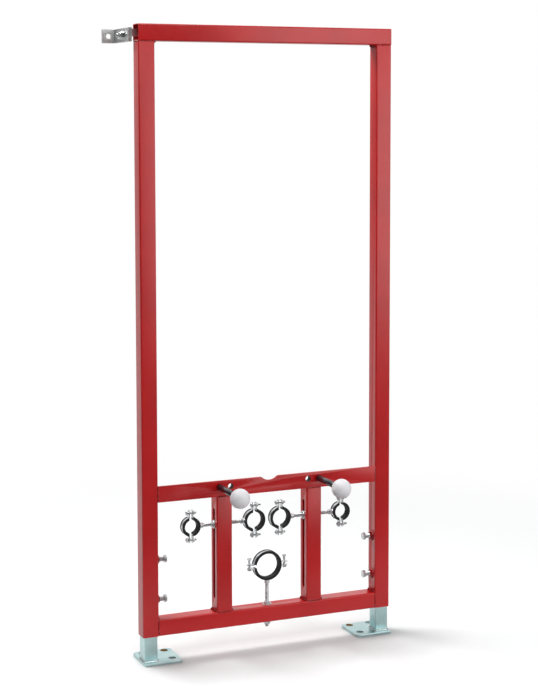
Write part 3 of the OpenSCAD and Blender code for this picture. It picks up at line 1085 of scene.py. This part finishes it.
@dataclass
class CrossbarNuts(Assembly):
    """Weld nuts behind the crossbar, with their tack welds."""

    flats: float = 19 * MM
    height: float = 10 * MM
    tack_l: float = 9 * MM
    tack_r: float = 1.8 * MM
    lift: float = 0.3 * MM

    def build(self) -> None:
        """Models one nut and sets all four, with a tack weld above and below each."""
        nut = self.hardware.hex_nut("bar_nut_model", self.flats, self.height, SIZES.hole_r)
        rear, height = SIZES.front_y + SIZES.bar_t, SIZES.base_z + SIZES.fixing_z
        places = (-SIZES.stud_x, -SIZES.hole_x, SIZES.hole_x, SIZES.stud_x)
        nuts = [self.bench.copy(nut, "nut", Aim.FRONT.at(x, rear + self.height, height)) for x in places]
        self.finish("bar_weld_nuts", nuts, "red_paint", "frame", ["crossbar_nuts"])
        welds = Welds(self.bench, self.hardware, self.finishes, self.nodes)
        tack = welds.bead("tack_model", self.tack_l, self.tack_r, 0.1)
        tacks = []
        for x in places:
            for way in (-1, 1):
                edge = height + way * (self.flats / 2 + self.lift)
                tacks.append(welds.lay(tack, (x, rear + self.lift, edge), "X"))
        self.finish("bar_nut_tacks", tacks, "red_paint", "frame", other=self.finishes.weld)
        self.bench.drop(nut, tack)


@dataclass
class StudFitting(Assembly):
    """A stud in the crossbar with its black sleeve and ball cap."""

    side: Side = Side.LEFT
    radius: float = 6 * MM
    pitch: float = 1.75 * MM
    sleeve_r: float = 6.6 * MM
    sleeve_rim: float = 0.25 * MM
    ball_r: float = 20.7 * MM
    ball_reach: float = 115 * MM  # from the crossbar to the ball's middle
    bore_past: float = 3.2 * MM  # bore past the ball's middle
    mouth_turn: float = 0.06  # turn from the bore's edge to the full ball, in radians
    seam_h: float = 0.12 * MM

    def build(self) -> None:
        """Models the threaded stud, the sleeve and the moulded ball."""
        word, x, height = self.side.word, self.side.value * SIZES.stud_x, SIZES.base_z + SIZES.fixing_z
        low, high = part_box(word + "_stud")
        stud = self.bench.threaded("stud", self.radius, self.pitch, high.y - low.y, 28)
        self.set_in(stud, Aim.FRONT.at(x, high.y, height))
        self.finish(word + "_threaded_stud", [stud], "bright_zinc", "frame", [word + "_stud"])

        front = Aim.FRONT.at(x, SIZES.front_y, height)
        neck = self.ball_reach - math.sqrt(self.ball_r**2 - self.sleeve_r**2)
        bore, outer, rim = self.radius + 0.05 * MM, self.sleeve_r, self.sleeve_rim
        section = [
            (bore, 0), (outer - rim, 0), (outer, rim),
            (outer, neck - rim), (outer - rim, neck), (bore, neck),
        ]
        sleeve = self.set_in(self.bench.turned("sleeve", section, True), front, 50)
        self.finish(word + "_stud_sleeve", [sleeve], "sleeve_plastic", "frame", [word + "_sleeve"])

        ball = self.set_in(self.bench.turned("ball", self.ball_profile(neck), False, 96), front, 40)
        self.finish(word + "_moulded_ball", [ball], "cap_plastic", "frame", [word + "_ball_cap"])

    def ball_profile(self, neck: float) -> list[Point]:
        """Profile of the ball: bored, with a rounded mouth and a fine parting line.

        Args:
            neck: distance of the ball's mouth from the crossbar.

        Returns:
            Radius and height of each corner, from the bore's end to the pole.
        """
        bore_end = self.ball_reach + self.bore_past
        points = [(0.0, bore_end), (self.sleeve_r, bore_end), (self.sleeve_r + 0.1 * MM, neck + 0.5 * MM)]
        start, steps = math.asin(self.sleeve_r / self.ball_r) + self.mouth_turn, 40
        for i in range(steps):
            angle = start + (math.pi - start) * i / steps
            reach = self.ball_r + (self.seam_h if abs(angle - math.pi / 2) < 0.03 else 0.0)
            points.append((reach * math.sin(angle), self.ball_reach - reach * math.cos(angle)))
        points.append((0.0, self.ball_reach + self.ball_r))
        return points


@dataclass
class RodFitting(Assembly):
    """A threaded rod through a tube wall, with its washers and nuts."""

    radius: float = 4 * MM
    pitch: float = 1.25 * MM
    flats: float = 13 * MM
    nut_t: float = 6.5 * MM
    slim_nut_t: float = 4 * MM
    square_edge: float = 0.8 * MM
    washer_r: float = 9 * MM
    drain_washer_r: float = 10 * MM
    washer_t: float = 1.6 * MM

    def pair(self, place: Matrix, washer_r: float, nut_t: float) -> list[Part]:
        """Models a washer with a nut on it.

        Args:
            place: where the washer's seat goes.
            washer_r: radius of the washer.
            nut_t: thickness of the nut.

        Returns:
            The washer and the nut, in place.
        """
        washer = self.hardware.washer("washer", washer_r, self.radius + 0.3 * MM, self.washer_t)
        nut = self.hardware.hex_nut("nut", self.flats, nut_t, self.radius)
        washer.data.transform(place)
        nut.data.transform(place @ Matrix.Translation((0, 0, self.washer_t)))
        return [washer, nut]

    def rod(self, word: str, body: str, length: float, place: Matrix) -> None:
        """Cuts a threaded rod to length.

        Args:
            word: what the rod is for, as its node writes it.
            body: the body that carries it.
            length: its length.
            place: where its lower end goes.
        """
        rod = self.set_in(self.bench.threaded("rod", self.radius, self.pitch, length), place)
        self.finish(word + "_threaded_rod", [rod], "bright_zinc", body, [word + "_rod"])

    def supply(self, side: Side) -> None:
        """Builds the rod that carries two supply clamps through a mullion.

        Args:
            side: side of the frame.
        """
        word, body = side.word, side.word + "_clamps"
        low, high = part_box(word + "_rod")
        height = SIZES.base_z + SIZES.supply_z
        self.rod(word, body, high.x - low.x, Aim.RIGHT.at(low.x, SIZES.mid_y, height))
        face = side.value * SIZES.mullion_x - SIZES.tube / 2
        outside = Aim.LEFT.at(face - 0.1 * MM, SIZES.mid_y, height)
        parts = self.pair(outside, self.washer_r, self.slim_nut_t)
        parts.append(self.square_nut(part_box(word + "_rod_nuts")[1].x, height))
        self.finish(word + "_rod_fasteners", parts, "bright_zinc", body, [word + "_rod_nuts"])

    def square_nut(self, inner_x: float, height: float) -> Part:
        """Models the square nut inside a mullion, with broken edges.

        Args:
            inner_x: X of its far face.
            height: height of its middle.

        Returns:
            The nut in place.
        """
        corner, edge, top = self.washer_r * math.sqrt(2), self.square_edge, self.nut_t
        layers = [(corner - edge, 0), (corner, edge), (corner, top - edge), (corner - edge, top)]
        nut = self.bench.stack("square_nut", layers, 4, math.pi / 4)
        nut.data.transform(Aim.RIGHT.at(inner_x - top, SIZES.mid_y, height))
        return nut

    def drain(self) -> None:
        """Builds the drain clamp's rod through the bottom rail."""
        low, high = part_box("drain_rod")
        self.rod("drain", "drain_clamp", high.z - low.z, Aim.UP.at(0, SIZES.mid_y, low.z))
        above = Aim.UP.at(0, SIZES.mid_y, SIZES.base_z + SIZES.tube)
        below = Aim.DOWN.at(0, SIZES.mid_y, SIZES.base_z)
        parts = self.pair(above, self.drain_washer_r, self.slim_nut_t)
        parts += self.pair(below, self.drain_washer_r, self.nut_t)
        self.finish("drain_rod_fasteners", parts, "bright_zinc", "frame", ["drain_rod_nuts"])


@dataclass
class PipeClamp(Assembly):
    """A two-part pipe clamp with ribbed rubber lining, screws and a threaded boss."""

    name: str = "drain"
    body: str = "drain_clamp"
    radius: float = 26.5 * MM
    place: Matrix = field(default_factory=Matrix.Identity)
    turned_round: bool = False
    one_piece: bool = False
    screw_l: float = 25 * MM
    slack: float = 11.5 * MM  # from a screw's head to the band's ear
    band_w: float = 11.5 * MM
    band_t: float = 1.5 * MM
    band_edge: float = 0.3 * MM
    lining_t: float = 3.2 * MM
    lip_t: float = 1.5 * MM
    lip_h: float = 1.0 * MM
    soft: float = 0.45 * MM
    rib_count: int = 5
    rib_h: float = 0.9 * MM
    gap: float = 6 * MM  # between the ears of the half bands
    lining_gap: float = 9 * MM  # between the ends of the rubber where it is open
    slit: float = 0.3 * MM  # the same where its ends meet
    lining_fit: float = 0.05 * MM
    lining_bulge: float = 0.6 * MM
    screw_out: float = 9.5 * MM  # from the band out to the screws
    screw_r: float = 2.5 * MM
    head_r: float = 4.75 * MM
    head_h: float = 3.5 * MM
    nut_flats: float = 8 * MM
    nut_t: float = 4 * MM
    collar_section: tuple[Point, ...] = (
        (4.2 * MM, 0), (5.7 * MM, 0), (5.65 * MM, 0.5 * MM), (5.3 * MM, 1.0 * MM), (4.2 * MM, 1.1 * MM),
    )

    @property
    def band_r(self) -> float:
        """Outer radius of the band."""
        return self.radius + self.lining_t + self.band_t

    def build(self) -> None:
        """Refines the bands and models the lining, the screws and the boss's collar."""
        node, name = self.nodes[self.name + "_bands"], self.name + "_bent_bands"
        bands = self.bench.refined(node, name, self.band_edge, 30)
        self.finishes.dress(bands, "band_zinc", self.body)
        self.lining()
        self.screws()
        self.boss_collar()

    def lining_profile(self) -> list[Point]:
        """Section of the rubber: two rounded lips, and ribs towards the pipe."""
        half, lip = self.band_w / 2 + self.lip_t, self.band_r + self.lip_h
        seat, soft = self.radius + self.lining_t - self.lining_fit, self.soft
        inside = self.band_w / 2 + 0.02 * MM
        outer = [
            (seat, -inside), (lip - soft, -inside), (lip, -inside - soft),
            (lip, -half + soft), (lip - soft, -half),
        ]
        crest = self.radius - self.lining_bulge
        groove = crest + self.rib_h
        ribs: list[Point] = [(crest + soft, -half)]
        pitch = 2 * (half - soft) / self.rib_count
        for i in range(self.rib_count):
            middle = -half + soft + pitch * (i + 0.5)
            for reach, share in ((crest, -0.30), (crest, 0.22), (groove, 0.36), (groove, 0.44)):
                ribs.append((reach, middle + share * pitch))
        ribs[-2:] = [(crest + soft, half)]
        return outer + ribs + [(r, -h) for r, h in reversed(outer)]

    def lining(self) -> None:
        """Spins the rubber's section round each half band and cuts it where it ends."""
        halves = []
        split = (self.slit if self.one_piece else self.lining_gap) / 2
        mouth = math.asin(self.lining_gap / 2 / self.band_r)
        for turn, way in ((0.0, -1), (math.pi, 1)):
            half = self.bench.profile("lining", self.lining_profile(), True)
            bpy.ops.transform.rotate(value=math.pi / 2, orient_axis="Z", center_override=(0, 0, 0))
            bpy.ops.mesh.spin(steps=56, angle=math.pi, center=(0, 0, 0), axis=(0, 0, 1))
            self.bench.close()
            if min(v.co.x for v in half.data.vertices) < -1 * MM:
                half.data.transform(Matrix.Rotation(math.pi, 4, "Z"))
            cuts = [((split, 0, 0), (-1, 0, 0))]
            if self.one_piece:
                cuts.append(((0, 0, 0), (-math.cos(mouth), way * math.sin(mouth), 0)))
            for point, normal in cuts:
                self.bench.edit(half)
                self.bench.trim(point, normal)
                self.bench.close()
            half.data.transform(Matrix.Rotation(turn, 4, "Z"))
            halves.append(self.set_in(half, self.place, 40))
        self.finish(self.name + "_ribbed_lining", halves, "rubber", self.body, [self.name + "_lining"])

    def screws(self) -> None:
        """Models one screw and nut and sets both pairs."""
        sizes = (self.screw_r, self.head_r, self.head_h, self.screw_l)
        screw = self.hardware.pan_screw("clamp_screw_model", *sizes)
        nut = self.hardware.hex_nut("clamp_nut_model", self.nut_flats, self.nut_t)
        ear = self.gap / 2 + self.band_t
        turn = Matrix.Rotation(math.pi if self.turned_round else 0.0, 4, "Z")
        parts = []
        for way in (-1, 1):
            middle = Matrix.Translation((0, way * (self.band_r + self.screw_out), 0))
            at = self.place @ middle @ turn @ Aim.RIGHT.matrix
            for model, height in ((screw, -ear - self.slack), (nut, ear)):
                parts.append(self.bench.copy(model, "copy", at @ Matrix.Translation((0, 0, height))))
        self.finish(self.name + "_cross_screws", parts, "bright_zinc", self.body, [self.name + "_screws"])
        self.bench.drop(screw, nut)

    def boss_collar(self) -> None:
        """Models the pressed collar at the foot of the boss."""
        collar = self.bench.turned("collar", self.collar_section, True, 32)
        self.set_in(collar, self.place @ Aim.RIGHT.at(self.band_r - 0.2 * MM, 0, 0))
        self.finish(self.name + "_boss_collar", [collar], "band_zinc", self.body)


@dataclass
class WallBracket(Assembly):
    """Bent strap, sliding angle and their bolt at the top rail's left end."""

    radius: float = 4 * MM
    pitch: float = 1.25 * MM
    flats: float = 13 * MM
    head_t: float = 5.3 * MM
    nut_t: float = 6.5 * MM
    washer_r: float = 9 * MM
    washer_t: float = 1.6 * MM
    bend_r: float = 4.5 * MM
    plate_t: float = 3 * MM
    grip: float = 6.1 * MM  # both plates and their play, between head and washer

    def bend(self, piece: Part, corners: Sequence[Triple]) -> None:
        """Rounds the upright edges of a plate's bend.

        Args:
            piece: the plate.
            corners: X and Y of each edge, and its radius.
        """
        self.bench.edit(piece, "EDGE")
        for x, y, radius in corners:
            bpy.ops.mesh.select_all(action="DESELECT")
            bpy.ops.object.mode_set(mode="OBJECT")
            for edge in piece.data.edges:
                ends = [piece.data.vertices[i].co for i in edge.vertices]
                near = all(math.hypot(p.x - x, p.y - y) < 0.2 * MM for p in ends)
                edge.select = near and abs(ends[0].z - ends[1].z) > 5 * MM
            bpy.ops.object.mode_set(mode="EDIT")
            bpy.ops.mesh.bevel(offset=radius, segments=6, affect="EDGES")
        self.bench.close()

    def plate(self, node: str, body: str, x: float, y: float, inwards: float) -> None:
        """Makes a bent plate from a CAD node.

        Args:
            node: the CAD node.
            body: the body that carries it.
            x: X of the bend's outer edge.
            y: Y of the bend's outer edge.
            inwards: step in X and Y from there to the inner edge.
        """
        piece = self.bench.refined(self.nodes[node], node + "_bent", 0.0)
        inner_r = self.bend_r - self.plate_t
        self.bend(piece, [(x, y, self.bend_r), (x + inwards, y + inwards, inner_r)])
        self.bench.bevel(piece, 0.3 * MM, 50)
        self.bench.smooth(piece)
        self.finishes.dress(piece, "bracket_zinc", body)

    def build(self) -> None:
        """Builds both plates and the bolt."""
        angle_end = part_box("wall_angle")[1]
        self.plate("wall_angle", "wall_bracket", angle_end.x, angle_end.y, -self.plate_t)
        tongue_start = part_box("bracket_tongue")[0]
        self.plate("bracket_tongue", "frame", tongue_start.x, tongue_start.y, self.plate_t)

        low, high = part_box("bracket_bolt")
        middle, under_head = (low + high) / 2, 2 * MM
        washer_at = self.head_t + self.grip
        heights = (0, washer_at + self.washer_t, washer_at, under_head)
        parts = [
            self.hardware.hex_nut("bracket_head", self.flats, self.head_t),
            self.hardware.hex_nut("bracket_nut", self.flats, self.nut_t),
            self.hardware.washer("bracket_washer", self.washer_r, self.radius + 0.2 * MM, self.washer_t),
            self.bench.threaded("bracket_shank", self.radius, self.pitch, high.x - low.x - under_head),
        ]
        self.bench.smooth(parts[-1], 60)
        for part, height in zip(parts, heights):
            part.data.transform(Aim.LEFT.at(high.x - height, middle.y, middle.z))
        self.finish("bracket_hexagon_bolt", parts, "bright_zinc", "frame", ["bracket_bolt"])


# Studio


@dataclass(frozen=True)
class Lamp:
    """A soft rectangular lamp: where it hangs, where it points, its size in metres and its watts."""

    name: str
    at: Triple
    aim: Triple
    size: Point
    power: float

    def hang(self) -> None:
        """Adds the lamp to the scene."""
        data = bpy.data.lights.new(self.name, "AREA")
        data.shape, data.energy = "RECTANGLE", self.power
        data.size, data.size_y = self.size
        lamp = bpy.data.objects.new(self.name, data)
        lamp.location = self.at
        lamp.rotation_euler = (Vector(self.aim) - Vector(self.at)).to_track_quat("-Z", "Y").to_euler()
        bpy.context.scene.collection.objects.link(lamp)


@dataclass
class Studio:
    """Camera, lamps, pale floor and white surroundings."""

    camera_at: Triple = (-1.33332, -3.18598, 1.13719)
    yaw: float = 0.400281
    pitch: float = 0.082955
    roll: float = 0.001723
    focal_px: float = 1621.34
    centre_px: Point = (269.0, 255.0)
    image: tuple[int, int] = (538, 700)
    lamps: tuple[Lamp, ...] = (
        Lamp("overhead", (-1.0, 1.0, 3.2), (0, -0.05, 0.2), (1.3, 1.3), 78),
        Lamp("panel", (2.4, -3.2, 1.6), (0.2, 0, 1.0), (3.2, 2.8), 80),
        Lamp("front", (-0.5, -2.6, 3.4), (0, 0, 1.2), (2.0, 2.0), 65),
        Lamp("left", (-3.4, -0.9, 1.2), (0, 0, 0.7), (1.2, 1.8), 1.0),
    )
    room: float = 0.17  # strength of the room where no backdrop is seen
    floor_tones: tuple[Triple, Triple] = ((0.80, 0.815, 0.815), (0.83, 0.845, 0.845))
    calm_tones: tuple[Triple, Triple] = ((0.25, 0.25, 0.25), (0.8, 0.8, 0.8))
    shade_reach: float = 0.19
    shade_depth: float = 0.95
    shade_lean: Triple = (-0.35, 0.75, 1.0)
    glow: float = 0.22
    fade: Point = (0.7, 1.9)
    backdrop_y: Point = (-0.1, 0.25)
    backdrop_x: Point = (-0.46, -0.30)
    floor_back_y: Point = (-0.45, -0.05)

    def camera(self) -> None:
        """Sets the camera at the photograph's angle."""
        data = bpy.data.cameras.new("camera")
        data.sensor_fit, data.sensor_width = "AUTO", 36.0
        width, height = self.image
        long_side = max(self.image)
        data.lens = self.focal_px / long_side * data.sensor_width
        data.shift_x = (width / 2 - self.centre_px[0]) / long_side
        data.shift_y = (self.centre_px[1] - height / 2) / long_side
        data.clip_start, data.clip_end = 0.05, 60
        camera = bpy.data.objects.new("camera", data)
        camera.location = self.camera_at
        camera.rotation_mode = "XYZ"
        camera.rotation_euler = (math.pi / 2 - self.pitch, self.roll, -self.yaw)
        bpy.context.scene.collection.objects.link(camera)
        bpy.context.scene.camera = camera

    def world(self) -> None:
        """Gives a white backdrop to camera and reflections and a calm room around it."""
        world = bpy.data.worlds.new("studio")
        bpy.context.scene.world = world
        world.use_nodes = True
        shop = ShaderShop(world.node_tree)
        way = shop.node("ShaderNodeTexCoord", {}, {}, "Generated")
        rearwards = shop.coordinate(way, 1).ramp(*self.backdrop_y)
        behind = rearwards * shop.coordinate(way, 0).ramp(*self.backdrop_x)
        strength = self.room + (1 - self.room) * self.seen(shop, behind)
        shop.output(shop.node("ShaderNodeBackground", {}, {"Color": (1, 1, 1, 1), "Strength": strength}))

    @staticmethod
    def seen(shop: ShaderShop, behind: Wire) -> Wire:
        """Gives 1 where the background shows: to the camera, and in what mirrors the backdrop.

        Args:
            shop: the tree.
            behind: 1 towards the backdrop and 0 in the room in front of it.

        Returns:
            The mask.
        """
        names = ("Is Camera Ray", "Is Glossy Ray", "Is Transmission Ray")
        camera, glossy, through = [shop.node("ShaderNodeLightPath", {}, {}, name) for name in names]
        mirrored = (glossy + through) * behind
        return shop.node("ShaderNodeMath", {"operation": "MAXIMUM"}, {0: camera, 1: mirrored})

    def floor(self) -> None:
        """Lays the pale floor, which keeps the object's shadow and fades to white."""
        bpy.ops.object.select_all(action="DESELECT")
        bpy.ops.mesh.primitive_plane_add(size=60, location=(0, 0, 0))
        floor = bpy.context.object
        floor.name = floor.data.name = "studio_floor"
        material, shop = new_material("pale_floor")
        where = shop.place()
        away = shop.node("ShaderNodeVectorMath", {"operation": "LENGTH"}, {0: where}, "Value")
        pale = shop.blend(shop.noise(where, 3, 2), *self.floor_tones)
        lean = shop.node("ShaderNodeCombineXYZ", {}, dict(enumerate(self.shade_lean)))
        reach = {"Distance": self.shade_reach, "Normal": lean}
        open_sky = shop.node("ShaderNodeAmbientOcclusion", {"samples": 16}, reach, "AO")
        share = 1.0 - self.shade_depth * (1.0 - open_sky)
        matt = shop.node("ShaderNodeBsdfDiffuse", {}, {"Color": shop.blend(share, (0.0, 0.0, 0.0), pale)})
        glow = shop.node("ShaderNodeEmission", {}, {"Color": (1, 1, 1, 1), "Strength": self.glow * share})
        white = shop.node("ShaderNodeEmission", {}, {"Color": (1, 1, 1, 1), "Strength": 1.0})
        lifted = shop.node("ShaderNodeAddShader", {}, {0: matt, 1: glow})
        shown = shop.node("ShaderNodeMixShader", {}, {0: away.ramp(*self.fade), 1: lifted, 2: white})
        back = shop.coordinate(where, 1).ramp(*self.floor_back_y)
        calm = shop.node("ShaderNodeBsdfDiffuse", {}, {"Color": shop.blend(back, *self.calm_tones)})
        shop.output(shop.node("ShaderNodeMixShader", {}, {0: self.seen(shop, back), 1: calm, 2: shown}))
        floor.data.materials.append(material)

    def build(self) -> None:
        """Sets up the whole studio."""
        self.camera()
        self.world()
        self.floor()
        for lamp in self.lamps:
            lamp.hang()
        bpy.context.scene.view_settings.view_transform = "Standard"
        LOG.info("studio: camera, %d lamps, floor and white surround", len(self.lamps))


# Main

# X of the ring's middle and radius of the pipe, for the two supply clamps on each rod
SUPPLY_RINGS = {"outer": (175 * MM, 15 * MM), "inner": (30 * MM, 18.5 * MM)}


def clamp_place(x: float, height: float, turn: float) -> Matrix:
    """Gives a clamp's place: its ring faces the front and its stem is turned.

    Args:
        x: X of the ring's middle.
        height: height of the ring's middle above the frame's lower edge.
        turn: turn of the stem from +X, in degrees.

    Returns:
        The placing matrix.
    """
    at = Matrix.Translation((x, SIZES.mid_y, SIZES.base_z + height))
    return at @ Matrix.Rotation(math.pi / 2, 4, "X") @ Matrix.Rotation(math.radians(turn), 4, "Z")


def main() -> None:
    """Builds every sub-assembly, then the studio."""
    logging.basicConfig(level=logging.INFO, format="%(name)s %(message)s")
    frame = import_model()
    bench = Workbench()
    kit = (bench, Hardware(bench), Finishes(), frame["nodes"])

    Steelwork(*kit).build()
    Welds(*kit).build()
    CrossbarNuts(*kit).build()
    FootLocks(*kit).build()
    for side in Side:
        Foot(*kit, side=side).build()
        StudFitting(*kit, side=side).build()
        RodFitting(*kit).supply(side)
    RodFitting(*kit).drain()
    for side in Side:
        for word, (x, radius) in SUPPLY_RINGS.items():
            round_about = (word == "outer") == (side is Side.RIGHT)
            place = clamp_place(side.value * x, SIZES.supply_z, 180 if round_about else 0)
            PipeClamp(
                *kit, name=f"{side.word}_{word}", body=side.word + "_clamps", radius=radius, place=place,
                turned_round=round_about, screw_l=20 * MM, slack=(0.5 if round_about else 3) * MM,
            ).build()
    PipeClamp(*kit, place=clamp_place(0, SIZES.drain_z, -90), one_piece=True).build()
    WallBracket(*kit).build()
    Studio().build()


if __name__ == "__main__":
    main()
